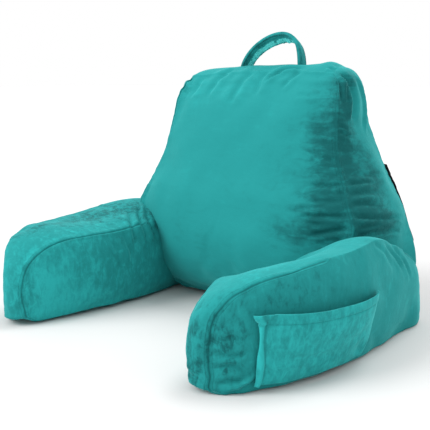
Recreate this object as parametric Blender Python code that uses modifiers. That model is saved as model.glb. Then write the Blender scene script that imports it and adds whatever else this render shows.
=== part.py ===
"""Reading pillow: a wedge backrest with two bolster arms, a carrying handle and two pockets.

Units are metres. +Z is up, the backrest faces -Y, and the origin lies on the floor under the
middle of the backrest. Each filled cushion starts as a UV sphere: its two caps become the sewn
panels, and the bands between them become the strip of cloth that joins the panels.
"""
import math
from collections import namedtuple

import bmesh
import bpy
from mathutils import Vector
from mathutils.bvhtree import BVHTree

# Driving sizes
SEAM_DEPTH = 0.003
TOUCH_GAP = 0.0003
CLOTH_THICK = 0.0025
PATCH = 0.006

TEAL = (0.030, 0.400, 0.370, 1.0)
DEEP_TEAL = (0.022, 0.310, 0.290, 1.0)
BLACK = (0.012, 0.014, 0.015, 1.0)

# Backrest: a row for each level of its front and back seams
Level = namedtuple("Level", "z front_half front_y back_half back_y")
LEVELS = (
    Level(z=0.000, front_half=0.165, front_y=-0.050, back_half=0.225, back_y=0.090),
    Level(z=0.035, front_half=0.198, front_y=-0.080, back_half=0.262, back_y=0.100),
    Level(z=0.090, front_half=0.215, front_y=-0.098, back_half=0.275, back_y=0.104),
    Level(z=0.145, front_half=0.246, front_y=-0.100, back_half=0.270, back_y=0.103),
    Level(z=0.185, front_half=0.262, front_y=-0.094, back_half=0.257, back_y=0.098),
    Level(z=0.225, front_half=0.247, front_y=-0.088, back_half=0.242, back_y=0.093),
    Level(z=0.262, front_half=0.230, front_y=-0.077, back_half=0.225, back_y=0.088),
    Level(z=0.303, front_half=0.213, front_y=-0.069, back_half=0.207, back_y=0.082),
    Level(z=0.350, front_half=0.202, front_y=-0.061, back_half=0.190, back_y=0.072),
    Level(z=0.404, front_half=0.194, front_y=-0.050, back_half=0.182, back_y=0.064),
    Level(z=0.438, front_half=0.182, front_y=-0.034, back_half=0.170, back_y=0.058),
    Level(z=0.451, front_half=0.160, front_y=-0.024, back_half=0.150, back_y=0.054),
)
FLAT_SHARE = 0.55
TOP_SLANT = 0.035
TOP_DROP = 0.003
BACKREST_HEART_Z = 0.225
FRONT_CROWN = 0.034
BACK_CROWN = 0.028
SIDE_CROWN = 0.013
TOP_CROWN = 0.013
BACKREST_AROUND = 104
BACKREST_PANEL_RINGS = (0.18, 0.36, 0.53, 0.68, 0.81, 0.91, 0.97, 1.0)
BACKREST_STRIP_RINGS = (-0.90, -0.60, -0.20, 0.20, 0.60, 0.90)

# Gathers that the backrest's seams pull into the cloth
Pucker = namedtuple("Pucker", "x z lean length width depth")
TOP_PUCKERS = (
    Pucker(x=-0.135, z=0.445, lean=-0.50, length=0.075, width=0.024, depth=0.008),
    Pucker(x=-0.070, z=0.448, lean=-0.42, length=0.060, width=0.022, depth=0.006),
    Pucker(x=-0.010, z=0.448, lean=-0.38, length=0.060, width=0.022, depth=0.006),
    Pucker(x=0.055, z=0.450, lean=-0.42, length=0.055, width=0.022, depth=0.006),
)

# Arms: a row for each station of the plan, seen from above
Station = namedtuple("Station", "y inner_x outer_x")
STATIONS = (
    Station(y=-0.440, inner_x=0.208, outer_x=0.252),
    Station(y=-0.425, inner_x=0.206, outer_x=0.268),
    Station(y=-0.400, inner_x=0.202, outer_x=0.286),
    Station(y=-0.340, inner_x=0.193, outer_x=0.313),
    Station(y=-0.260, inner_x=0.184, outer_x=0.329),
    Station(y=-0.177, inner_x=0.184, outer_x=0.331),
    Station(y=-0.115, inner_x=0.192, outer_x=0.323),
    Station(y=-0.030, inner_x=0.212, outer_x=0.313),
    Station(y=0.045, inner_x=0.235, outer_x=0.308),
    Station(y=0.090, inner_x=0.250, outer_x=0.300),
)

# Outlines of an arm's inner and outer panel, seen from its side
Corner = namedtuple("Corner", "inner_y inner_z outer_y outer_z")
ARM_OUTLINE = (
    Corner(inner_y=-0.412, inner_z=0.001, outer_y=-0.426, outer_z=0.001),
    Corner(inner_y=-0.429, inner_z=0.030, outer_y=-0.436, outer_z=0.030),
    Corner(inner_y=-0.432, inner_z=0.070, outer_y=-0.437, outer_z=0.078),
    Corner(inner_y=-0.418, inner_z=0.110, outer_y=-0.429, outer_z=0.121),
    Corner(inner_y=-0.383, inner_z=0.137, outer_y=-0.403, outer_z=0.149),
    Corner(inner_y=-0.330, inner_z=0.150, outer_y=-0.345, outer_z=0.167),
    Corner(inner_y=-0.240, inner_z=0.152, outer_y=-0.248, outer_z=0.179),
    Corner(inner_y=-0.160, inner_z=0.154, outer_y=-0.155, outer_z=0.182),
    Corner(inner_y=-0.095, inner_z=0.148, outer_y=-0.088, outer_z=0.176),
    Corner(inner_y=-0.030, inner_z=0.122, outer_y=-0.026, outer_z=0.157),
    Corner(inner_y=0.034, inner_z=0.086, outer_y=0.043, outer_z=0.117),
    Corner(inner_y=0.060, inner_z=0.042, outer_y=0.073, outer_z=0.060),
    Corner(inner_y=0.060, inner_z=0.001, outer_y=0.072, outer_z=0.001),
    Corner(inner_y=-0.080, inner_z=0.000, outer_y=-0.080, outer_z=0.000),
    Corner(inner_y=-0.200, inner_z=0.000, outer_y=-0.200, outer_z=0.000),
    Corner(inner_y=-0.320, inner_z=0.000, outer_y=-0.320, outer_z=0.000),
)
ARM_HEART_Y = -0.205
ARM_HEART_Z = 0.075
ARM_TALL = 0.180
ARM_INNER_BULGE = 0.012
ARM_OUTER_BULGE = 0.012
ARM_TOP_CROWN = 0.007
ARM_END_CROWN = 0.013
ARM_AROUND = 72
ARM_PANEL_RINGS = (0.22, 0.44, 0.65, 0.82, 0.94, 1.0)
ARM_STRIP_RINGS = (-0.86, -0.50, 0.0, 0.50, 0.86)

# Carrying handle: a padded strap sewn to the top strip
HANDLE_FOOT_HALF = 0.068
HANDLE_Y = 0.018
HANDLE_RISE = 0.050
HANDLE_SINK = 0.030
HANDLE_LEAN = 0.029
HANDLE_TURN = 8.0
HANDLE_ROLL = 22.0
STRAP_WIDE = 0.030
STRAP_THICK = 0.008
HANDLE_STEPS = 26
STRAP_CORNER_STEPS = 3

# Side pocket on the right arm: corners given along Y and Z, the mouth at its top
POCKET_FRONT_Y = -0.392
POCKET_REAR_Y = -0.140
POCKET_FOOT_SHIFT = -0.028
POCKET_MOUTH_Z = 0.120
POCKET_MOUTH_REAR_Z = 0.112
POCKET_FOOT_Z = 0.012
POCKET_GAPE = 0.024
POCKET_ALONG = 22
POCKET_UP = 9

# Back pocket: it spans the back panel from side seam to side seam
BACK_POCKET_FOOT_Z = 0.142
BACK_POCKET_MOUTH_Z = 0.282
BACK_POCKET_INSET = 0.010
BACK_POCKET_GAPE = 0.024
BACK_POCKET_ALONG = 26
BACK_POCKET_UP = 7


def catmull(before, start, end, after, share):
    """The value a share of the way from start to end, on a smooth curve through all four."""
    square = share * share
    cube = square * share
    return 0.5 * (
        2 * start
        + (end - before) * share
        + (2 * before - 5 * start + 4 * end - after) * square
        + (3 * start - before - 3 * end + after) * cube
    )


def table_value(rows, key, column, where):
    """A column of a table at any value of its key column, eased between its rows."""
    keys = [getattr(row, key) for row in rows]
    values = [getattr(row, column) for row in rows]
    where = min(max(where, keys[0]), keys[-1])
    last = len(rows) - 1
    i = max(n for n in range(last) if keys[n] <= where)
    share = (where - keys[i]) / (keys[i + 1] - keys[i])
    before = values[max(i - 1, 0)]
    after = values[min(i + 2, last)]
    return catmull(before, values[i], values[i + 1], after, share)


def curve_point(points, place, closed):
    """A point on the smooth curve through the given points; place counts points from the first."""
    count = len(points)
    i = math.floor(place)
    share = place - i

    def nth(n):
        return points[n % count] if closed else points[min(max(n, 0), count - 1)]

    return catmull(nth(i - 1), nth(i), nth(i + 1), nth(i + 2), share)


def even_places(points, steps, closed):
    """Places along the curve through the points that part it into equal lengths."""
    fine = 24 * len(points)
    last = len(points) if closed else len(points) - 1
    places = [last * n / fine for n in range(fine + 1)]
    run = [0.0]
    for a, b in zip(places, places[1:]):
        step = (curve_point(points, b, closed) - curve_point(points, a, closed)).length
        run.append(run[-1] + step)
    found = []
    n = 0
    for step in range(steps + (not closed)):
        wanted = run[-1] * step / steps
        while n < fine - 1 and run[n + 1] < wanted:
            n += 1
        share = (wanted - run[n]) / (run[n + 1] - run[n])
        found.append(places[n] + share * (places[n + 1] - places[n]))
    return found


def fade(value):
    """Eases from 0 at 0 to 1 at 1."""
    value = min(max(value, 0.0), 1.0)
    return value * value * (3 - 2 * value)


def sewn_cushion(name, around, panel_rings, strip_rings, place_on):
    """A closed cushion from a UV sphere. place_on(step, part, ring) gives each vertex its place:
    part is first, strip or last; ring is 0 at a panel's heart and 1 at its seam, or runs from
    -1 to 1 across the strip."""
    rings = [("first", ring) for ring in (0.0,) + panel_rings]
    rings += [("strip", ring) for ring in strip_rings]
    rings += [("last", ring) for ring in reversed((0.0,) + panel_rings)]
    bands = len(rings) - 1
    shape = bmesh.new()
    bmesh.ops.create_uvsphere(shape, u_segments=around, v_segments=bands, radius=1.0)
    for vertex in shape.verts:
        across = math.acos(min(max(vertex.co.z, -1.0), 1.0)) / math.pi
        turn = math.atan2(vertex.co.y, vertex.co.x) / math.tau
        part, ring = rings[round(across * bands)]
        vertex.co = place_on(round(turn * around) % around, part, ring)
    bmesh.ops.triangulate(shape, faces=shape.faces)
    face_outward(shape)
    mesh = bpy.data.meshes.new(name)
    shape.to_mesh(mesh)
    shape.free()
    return new_object(name, mesh)


def face_outward(shape):
    bmesh.ops.recalc_face_normals(shape, faces=shape.faces)
    if shape.calc_volume(signed=True) < 0:
        bmesh.ops.reverse_faces(shape, faces=shape.faces)


def new_object(name, mesh):
    made = bpy.data.objects.new(name, mesh)
    bpy.data.collections["reading_pillow"].objects.link(made)
    return made


def finish(thing, material, smooth_angle=50.0):
    thing.data.materials.clear()
    thing.data.materials.append(material)
    thing.data.shade_smooth()
    thing.data.set_sharp_from_angle(angle=math.radians(smooth_angle))


def cloth_material(name, colour, roughness):
    material = bpy.data.materials.new(name)
    material.use_nodes = True
    shader = material.node_tree.nodes["Principled BSDF"]
    shader.inputs["Base Color"].default_value = colour
    shader.inputs["Roughness"].default_value = roughness
    shader.inputs["Metallic"].default_value = 0.0
    return material


def backrest_half(half_column, y_column):
    """The seam of one backrest panel, from the middle of its foot up to the middle of its top."""
    foot, top = LEVELS[0], LEVELS[-1]
    points = [
        Vector((getattr(foot, half_column) * FLAT_SHARE * n, getattr(foot, y_column), foot.z))
        for n in (0, 1)
    ]
    for level in LEVELS:
        points.append(Vector((getattr(level, half_column), getattr(level, y_column), level.z)))
    for share in (FLAT_SHARE, 0.0):
        crest = Vector((getattr(top, half_column) * share, getattr(top, y_column), top.z + 0.004))
        points.append(crest)
    return points


def backrest_seams():
    """Matching points round the front and the back seam, with the way out of the strip there."""
    front_half = backrest_half("front_half", "front_y")
    back_half = backrest_half("back_half", "back_y")
    half_steps = BACKREST_AROUND // 2
    places = even_places(front_half, half_steps, closed=False)
    last = len(front_half) - 1
    seams = []
    for step in range(BACKREST_AROUND):
        mirrored = step > half_steps
        place = places[BACKREST_AROUND - step if mirrored else step]
        place = min(place, last - 1e-9)
        front = curve_point(front_half, place, closed=False)
        back = curve_point(back_half, place, closed=False)
        ahead = curve_point(front_half, min(place + 0.02, last - 1e-9), closed=False)
        behind = curve_point(front_half, max(place - 0.02, 0.0), closed=False)
        along = ahead - behind
        out = Vector((along.z, 0.0, -along.x)).normalized()
        if mirrored:
            for point in (front, back, out):
                point.x = -point.x
        seams.append((front, back, out))
    return seams


def panel_fullness(x, z):
    """How far a backrest panel bulges at a point, from 0 at its edges to 1 at its fullest."""
    side = x / table_value(LEVELS, "z", "front_half", z)
    height = z / LEVELS[-1].z
    sideways = max(0.0, 1 - abs(side) ** 2.6)
    upward = fade((height + 0.05) / 0.35) * (1 - fade((height - 0.45) / 0.60))
    return sideways ** 0.8 * (0.25 + 0.75 * upward)


def pucker_depth(x, z):
    """How far the gathers below the top seam sink the front panel at a point."""
    depth = 0.0
    for pucker in TOP_PUCKERS:
        down = pucker.z - z
        along = down * math.sqrt(1 + pucker.lean ** 2)
        aside = (x - pucker.x - pucker.lean * down) / pucker.width
        if down > -0.02:
            depth += pucker.depth * math.exp(-aside * aside) * (1 - fade(along / pucker.length))
    return depth


def build_backrest(material):
    seams = backrest_seams()

    def place_on(step, part, ring):
        front, back, out = seams[step]
        if part == "strip":
            share = (ring + 1) / 2
            low = 1 - fade((front.z - 0.02) / 0.05)
            crown = SIDE_CROWN + (TOP_CROWN - SIDE_CROWN) * fade(out.z)
            lift = crown * (1 - ring * ring) ** 0.7
            point = front.lerp(back, share) + out * lift
            if low > 0:
                point.z *= 1 - 0.6 * low
        else:
            seam = front if part == "first" else back
            facing = -1 if part == "first" else 1
            column = "front_y" if part == "first" else "back_y"
            crown = FRONT_CROWN if part == "first" else BACK_CROWN
            heart = Vector((0.0, 0.0, BACKREST_HEART_Z))
            point = heart.lerp(seam, ring)
            rise = crown * panel_fullness(point.x, point.z) * (1 - ring ** 7)
            point.y = table_value(LEVELS, "z", column, point.z) + facing * rise
            if part == "first":
                point.y += pucker_depth(point.x, point.z)
            if ring == 1.0:
                point -= out * SEAM_DEPTH
                point.y -= facing * SEAM_DEPTH * 0.6
        point.z = max(point.z * (1 + TOP_SLANT * point.x) - TOP_DROP * point.z / LEVELS[-1].z, 0.0)
        return point

    made = sewn_cushion(
        "backrest", BACKREST_AROUND, BACKREST_PANEL_RINGS, BACKREST_STRIP_RINGS, place_on
    )
    finish(made, material)
    return made


def arm_seams():
    """Matching points round an arm's inner and outer seam, with the way out of the strip there."""
    inner_line = [Vector((0.0, corner.inner_y, corner.inner_z)) for corner in ARM_OUTLINE]
    outer_line = [Vector((0.0, corner.outer_y, corner.outer_z)) for corner in ARM_OUTLINE]
    seams = []
    for place in even_places(outer_line, ARM_AROUND, closed=True):
        inner = curve_point(inner_line, place, closed=True)
        outer = curve_point(outer_line, place, closed=True)
        inner.x = table_value(STATIONS, "y", "inner_x", inner.y)
        outer.x = table_value(STATIONS, "y", "outer_x", outer.y)
        along = curve_point(outer_line, place + 0.02, True) - curve_point(outer_line, place - 0.02, True)
        out = Vector((0.0, -along.z, along.y)).normalized()
        for point in (inner, outer):
            point.z = max(point.z, 0.0)
        seams.append((inner, outer, out))
    return seams


def build_arm(name, side, material):
    """One arm. side is 1 for the right arm, at +X, and -1 for the left."""
    seams = arm_seams()

    def place_on(step, part, ring):
        inner, outer, out = seams[step]
        if part == "strip":
            crown = ARM_END_CROWN + (ARM_TOP_CROWN - ARM_END_CROWN) * fade(out.z)
            lift = crown * fade((out.z + 0.55) / 0.5) * (1 - ring * ring) ** 0.6
            point = inner.lerp(outer, (ring + 1) / 2) + out * lift
        else:
            seam = inner if part == "first" else outer
            facing = -1 if part == "first" else 1
            bulge = ARM_INNER_BULGE if part == "first" else ARM_OUTER_BULGE
            column = "inner_x" if part == "first" else "outer_x"
            heart = Vector((0.0, ARM_HEART_Y, ARM_HEART_Z))
            point = heart.lerp(seam, ring)
            rise = bulge * (1 - ring ** 5) * (0.4 + 0.6 * math.sin(math.pi * point.z / ARM_TALL))
            point.x = table_value(STATIONS, "y", column, point.y) + facing * rise
            if ring == 1.0:
                point -= out * SEAM_DEPTH
                point.x -= facing * SEAM_DEPTH * 0.6
        point.z = max(point.z, 0.0)
        return Vector((side * point.x, point.y, point.z))

    made = sewn_cushion(name, ARM_AROUND, ARM_PANEL_RINGS, ARM_STRIP_RINGS, place_on)
    finish(made, material)
    return made


def grown_copy(source, name, growth):
    """A cutter: the same shape, its surface moved out by the gap that neighbours keep."""
    cutter = bpy.data.objects.new(name, source.data.copy())
    bpy.data.collections["cutters"].objects.link(cutter)
    shape = bmesh.new()
    shape.from_mesh(cutter.data)
    shape.normal_update()
    for vertex in shape.verts:
        vertex.co += vertex.normal * growth
    shape.to_mesh(cutter.data)
    shape.free()
    cutter.hide_render = True
    cutter.display_type = "WIRE"
    return cutter


def cut_by(thing, cutter):
    modifier = thing.modifiers.new("clear_of_" + cutter.name, "BOOLEAN")
    modifier.operation = "DIFFERENCE"
    modifier.object = cutter


def strap_section():
    """The rounded oblong that the handle's strap shows where it is cut across."""
    curve = bpy.data.curves.new("strap_section", "CURVE")
    curve.dimensions = "2D"
    spline = curve.splines.new("POLY")
    radius = STRAP_THICK / 2
    corners = []
    for end in (1, -1):
        for step in range(STRAP_CORNER_STEPS * 2 + 1):
            angle = math.pi / 2 - math.pi * step / (STRAP_CORNER_STEPS * 2)
            x = end * (STRAP_WIDE / 2 - radius + radius * math.cos(angle))
            corners.append((x, end * radius * math.sin(angle)))
    spline.points.add(len(corners) - 1)
    for point, (x, y) in zip(spline.points, corners):
        point.co = (x, y, 0.0, 1.0)
    spline.use_cyclic_u = True
    section = bpy.data.objects.new("strap_section", curve)
    bpy.data.collections["cutters"].objects.link(section)
    section.hide_render = True
    return section


def handle_point(share):
    """A point on the handle's middle line, share running from its left foot to its right foot."""
    angle = math.pi * share
    x = -HANDLE_FOOT_HALF * math.cos(angle) + HANDLE_LEAN * math.sin(angle) ** 2
    rise = (HANDLE_RISE + HANDLE_SINK) * math.sin(angle) ** 0.9
    return Vector((x, HANDLE_Y, top_height() - HANDLE_SINK + rise))


def top_height():
    return LEVELS[-1].z + 0.004 + TOP_CROWN


def build_handle(material, backrest_cutter):
    curve = bpy.data.curves.new("handle_line", "CURVE")
    curve.dimensions = "3D"
    curve.twist_mode = "MINIMUM"
    spline = curve.splines.new("POLY")
    spline.points.add(HANDLE_STEPS)
    for step, point in enumerate(spline.points):
        point.co = (*handle_point(step / HANDLE_STEPS), 1.0)
        lean = math.sin(math.pi * step / HANDLE_STEPS) ** 2
        point.tilt = math.radians(HANDLE_TURN + HANDLE_ROLL * lean)
    curve.bevel_mode = "OBJECT"
    curve.bevel_object = strap_section()
    curve.use_fill_caps = True
    line = bpy.data.objects.new("handle_line", curve)
    bpy.data.collections["cutters"].objects.link(line)
    bpy.context.view_layer.update()
    graph = bpy.context.evaluated_depsgraph_get()
    mesh = bpy.data.meshes.new_from_object(line.evaluated_get(graph))
    shape = bmesh.new()
    shape.from_mesh(mesh)
    bmesh.ops.remove_doubles(shape, verts=shape.verts, dist=0.00005)
    face_outward(shape)
    shape.to_mesh(mesh)
    shape.free()
    mesh.name = "handle"
    made = new_object("handle", mesh)
    made.matrix_world = line.matrix_world.copy()
    bpy.data.objects.remove(line)
    cut_by(made, backrest_cutter)
    finish(made, material)
    return made


def surface_of(thing):
    """A tree for finding points on the thing's surface, as it stands after its cuts."""
    graph = bpy.context.evaluated_depsgraph_get()
    return BVHTree.FromObject(thing, graph)


def proud(surface, start, axis):
    """The most that the surface stands out along an axis near a point, looking back from outside."""
    way = Vector((0.0, 0.0, 0.0))
    way[axis] = -1.0
    aside = Vector((0.0, 0.0, 0.0))
    aside[1 - axis] = PATCH
    found = []
    for step in (Vector(), aside, -aside, Vector((0.0, 0.0, PATCH)), Vector((0.0, 0.0, -PATCH))):
        hit = surface.ray_cast(start + step, way)[0]
        if hit is not None:
            found.append(hit[axis])
    return max(found)


def sheet_on(name, along, up, place_on, material):
    """A sheet of cloth from a grid: place_on(u, v) gives each point, both running from 0 to 1."""
    shape = bmesh.new()
    bmesh.ops.create_grid(shape, x_segments=along, y_segments=up, size=0.5)
    for vertex in shape.verts:
        vertex.co = place_on(vertex.co.x + 0.5, vertex.co.y + 0.5)
    mesh = bpy.data.meshes.new(name)
    shape.to_mesh(mesh)
    shape.free()
    made = new_object(name, mesh)
    thick = made.modifiers.new("cloth", "SOLIDIFY")
    thick.thickness = CLOTH_THICK
    thick.offset = 1.0
    thick.use_even_offset = True
    finish(made, material)
    return made


def slack(u, v, gape):
    """How far a pocket stands off: most at its mouth, nothing at its sides and foot."""
    across = max(0.0, 1 - (2 * u - 1) ** 4)
    return gape * across * fade(v * 1.15) ** 1.3


def build_side_pocket(arm, arm_cutter, material):
    surface = surface_of(arm)
    clear = TOUCH_GAP * 2

    def place_on(u, v):
        y = POCKET_FRONT_Y + (POCKET_REAR_Y - POCKET_FRONT_Y) * u
        y += POCKET_FOOT_SHIFT * (1 - v) * u
        mouth = POCKET_MOUTH_Z + (POCKET_MOUTH_REAR_Z - POCKET_MOUTH_Z) * u
        mouth -= 0.006 * math.sin(math.pi * u)
        z = POCKET_FOOT_Z + (mouth - POCKET_FOOT_Z) * v
        x = proud(surface, Vector((1.0, y, z)), 0)
        return Vector((x + clear + slack(u, v, POCKET_GAPE), y, z))

    made = sheet_on("side_pocket", POCKET_ALONG, POCKET_UP, place_on, material)
    cut_by(made, arm_cutter)
    return made


def build_back_pocket(backrest, backrest_cutter, material):
    surface = surface_of(backrest)
    clear = TOUCH_GAP * 2

    def place_on(u, v):
        z = BACK_POCKET_FOOT_Z + (BACK_POCKET_MOUTH_Z - BACK_POCKET_FOOT_Z) * v
        half = table_value(LEVELS, "z", "back_half", z) - BACK_POCKET_INSET
        x = half * (1 - 2 * u)
        y = proud(surface, Vector((x, 1.0, z)), 1)
        return Vector((x, y + clear + slack(u, v, BACK_POCKET_GAPE), z))

    made = sheet_on("back_pocket", BACK_POCKET_ALONG, BACK_POCKET_UP, place_on, material)
    cut_by(made, backrest_cutter)
    return made


def clear_scene():
    for thing in list(bpy.data.objects):
        bpy.data.objects.remove(thing, do_unlink=True)
    for name in ("reading_pillow", "cutters"):
        bpy.context.scene.collection.children.link(bpy.data.collections.new(name))


def main():
    clear_scene()
    velour = cloth_material("teal_velour", TEAL, 0.85)
    strap_cloth = cloth_material("teal_strap", DEEP_TEAL, 0.8)
    black_cloth = cloth_material("black_pocket_cloth", BLACK, 0.9)

    backrest = build_backrest(velour)
    backrest_cutter = grown_copy(backrest, "backrest_cutter", TOUCH_GAP)
    for name, side in (("arm_right", 1), ("arm_left", -1)):
        arm = build_arm(name, side, velour)
        cut_by(arm, backrest_cutter)
    build_handle(strap_cloth, backrest_cutter)
    bpy.context.view_layer.update()
    right = bpy.data.objects["arm_right"]
    arm_cutter = grown_copy(right, "arm_cutter", TOUCH_GAP)
    build_side_pocket(right, arm_cutter, velour)
    build_back_pocket(backrest, backrest_cutter, black_cloth)


main()
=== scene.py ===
"""Looks of the reading pillow: crushed velour cushions, strap handle and cloth pockets."""

import math

import bpy
import numpy as np
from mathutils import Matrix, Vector
from mathutils.bvhtree import BVHTree


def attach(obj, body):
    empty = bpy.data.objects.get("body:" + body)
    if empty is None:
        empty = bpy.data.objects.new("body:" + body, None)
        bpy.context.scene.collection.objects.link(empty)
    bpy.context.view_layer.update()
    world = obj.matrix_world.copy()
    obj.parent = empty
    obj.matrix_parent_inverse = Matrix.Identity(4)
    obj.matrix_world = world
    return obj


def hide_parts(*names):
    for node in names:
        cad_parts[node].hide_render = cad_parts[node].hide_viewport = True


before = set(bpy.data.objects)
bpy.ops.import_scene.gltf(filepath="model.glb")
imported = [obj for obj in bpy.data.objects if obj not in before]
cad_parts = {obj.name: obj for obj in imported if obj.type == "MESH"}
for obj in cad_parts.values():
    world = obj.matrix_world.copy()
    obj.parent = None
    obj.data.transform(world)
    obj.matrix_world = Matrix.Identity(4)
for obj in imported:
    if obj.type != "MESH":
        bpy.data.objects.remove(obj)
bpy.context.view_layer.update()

# The photograph's camera
CAMERA_AT = (0.9825, -1.2197, 0.4423)
CAMERA_AZIMUTH = 42.5
CAMERA_DOWN = 9.76
LENS = 66.88
SENSOR = 36.0

# A seam's crease, the rolls beside it and how far off the cloth still keeps its distance
SEAM_SINK = 0.0018
SEAM_WIDE = 0.0017
SEAM_ROLL = 0.0008
SEAM_ROLL_AT = 0.0060
SEAM_ROLL_WIDE = 0.0030
SEAM_REACH = 0.05

# The filling: its push, the cloth's growth, the frames run, the most that a point may move, and
# the height below which the foot is held
SWELL_PRESSURE = 3.0
SWELL_GROWTH = 0.010
SWELL_FRAMES = 20
SWELL_CAP = 0.007
HELD_BELOW_Z = 0.004

# How the rings crowd together towards the seams, on a panel and on the strip
PANEL_CROWDING = 0.35
STRIP_ARC = 1.47

# Steps round a cushion, rings on a panel and rings on the strip, all in fours
BACKREST_STEPS = (560, 52, 44)
ARM_STEPS = (440, 32, 36)

# Keeps a place just short of a table's last row, and a length above nothing
HAIR = 1e-9

# The part of a table's row over which a seam's direction is taken
WAY_STEP = 0.02

# Gathers: how near a seam their roots lie, how far along it one reaches, where it starts off the
# seam, and the least share that is still made
GATHER_EDGE = 0.006
GATHER_SPREAD = 0.035
GATHER_START = 0.004
GATHER_LEAST = 0.05

# Points along a crease, and waves in the stuffing's unevenness
CREASE_POINTS = 24
LUMP_WAVES = 36

# How strongly a dark stroke mottles the pile, and the mottling where nothing is brushed
CRUSH_OF_DARK = 1.4
CRUSH_ELSEWHERE = 0.2

# The backrest's seams in millimetres: z, half width and y of the front one, then of the back one
LEVELS = np.array([
    (0, 165, -50, 225, 90),
    (35, 198, -80, 262, 100),
    (90, 215, -98, 275, 104),
    (145, 246, -100, 270, 103),
    (185, 262, -94, 257, 98),
    (225, 247, -88, 242, 93),
    (262, 230, -77, 225, 88),
    (303, 213, -69, 207, 82),
    (350, 202, -61, 190, 72),
    (404, 194, -50, 182, 64),
    (438, 182, -34, 170, 58),
    (451, 160, -24, 150, 54),
]) / 1000

# The straight share of its foot and top, the top's rise to its middle, its slant up to the right
# and its drop, the panels' heart, and how far each panel and the strip crown
FLAT_SHARE = 0.55
TOP_RISE = 0.004
TOP_SLANT = 0.035
TOP_DROP = 0.003
BACKREST_HEART_Z = 0.225
FRONT_CROWN = 0.034
BACK_CROWN = 0.028
SIDE_CROWN = 0.013
TOP_CROWN = 0.013

# An arm's plan in millimetres: y, inner x, outer x
STATIONS = np.array([
    (-440, 208, 252),
    (-425, 206, 268),
    (-400, 202, 286),
    (-340, 193, 313),
    (-260, 184, 329),
    (-177, 184, 331),
    (-115, 192, 323),
    (-30, 212, 313),
    (45, 235, 308),
    (90, 250, 300),
]) / 1000

# An arm's panels from the side, in millimetres: y and z of the inner seam, then of the outer one
ARM_OUTLINE = np.array([
    (-200, 0, -200, 0),
    (-320, 0, -320, 0),
    (-412, 1, -426, 1),
    (-429, 30, -436, 30),
    (-432, 70, -437, 78),
    (-418, 110, -429, 121),
    (-383, 137, -403, 149),
    (-330, 150, -345, 167),
    (-240, 152, -248, 179),
    (-160, 154, -155, 182),
    (-95, 148, -88, 176),
    (-30, 122, -26, 157),
    (34, 86, 43, 117),
    (60, 42, 73, 60),
    (60, 1, 72, 1),
    (-80, 0, -80, 0),
]) / 1000
ARM_HEART = (-0.205, 0.075)
ARM_TALL = 0.180
ARM_INNER_BULGE = 0.012
ARM_OUTER_BULGE = 0.012
ARM_TOP_CROWN = 0.007
ARM_END_CROWN = 0.013

# The handle's strap, its stitches as a share of its width, and the puckers in its lining
STRAP_GRID = (230, 56)
HANDLE_FOOT_HALF = 0.071
HANDLE_FOOT_Z = 0.438
HANDLE_Y = 0.018
HANDLE_RISE = 0.050
HANDLE_SINK = 0.030
HANDLE_LEAN = 0.029
HANDLE_TURN = 8.0
HANDLE_ROLL = 22.0
STRAP_WIDE = 0.032
STRAP_THICK = 0.008
STRAP_STITCHES_AT = 0.15
STRAP_NARROWS = 0.16
PUCKER_PITCH = 0.0048
PUCKER_DEPTH = 0.0021

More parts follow.
